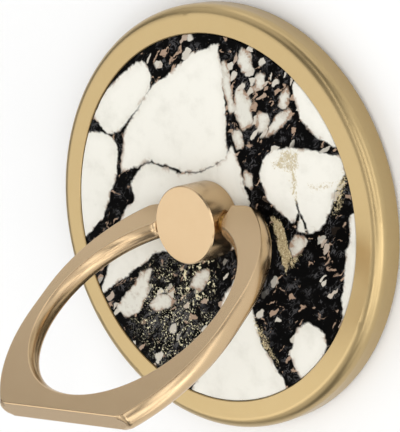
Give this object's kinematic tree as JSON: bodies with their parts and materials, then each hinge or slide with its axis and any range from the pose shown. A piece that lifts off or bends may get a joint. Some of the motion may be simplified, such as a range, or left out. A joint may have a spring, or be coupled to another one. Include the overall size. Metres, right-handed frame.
{
  "type": "phone ring holder",
  "caption": "Round marble-faced disc with an adhesive back, and a folding finger ring on a turning hub that also props a phone up.",
  "frame": {"origin": "centre of the adhesive face, on the disc's axis", "axes": "+Z along the disc's axis, from the adhesive face to the marble face; +X along the ring's hinge pin at rest; +Y away from the side where the ring leans"},
  "size_m": [0.04, 0.04, 0.0245],
  "materials": {
    "gold_metal": "satin champagne-gold anodised",
    "marble": "glossy black and white marble pattern with gold glitter",
    "brass": "turned",
    "steel": "plain",
    "nylon": "natural",
    "tape": "clear film",
    "foam": "matt foam with an adhesive face"
  },
  "bodies": {
    "base": {"base_shell": "gold_metal", "inlay_tape": "tape", "marble_inlay": "marble", "swivel_washer": "nylon", "friction_washer": "nylon", "back_plate": "steel", "adhesive_pad": "foam"},
    "hub": {"swivel_hub": "gold_metal", "hinge_pin": "steel", "hinge_bush_left": "brass", "hinge_bush_right": "brass", "spring_washer": "steel", "retaining_washer": "steel", "retaining_screw": "steel"},
    "ring": {"finger_ring": "gold_metal"}
  },
  "joints": [
    {"name": "hub_swivel", "type": "hinge", "parent": "base", "child": "hub", "pos_m": [0, 0, 0], "axis": [0, 0, 1], "continuous": true},
    {"name": "ring_fold", "type": "hinge", "parent": "hub", "child": "ring", "pos_m": [0, 0, 0.00488], "axis": [-1, 0, 0], "range_deg": [-54, 126]}
  ]
}
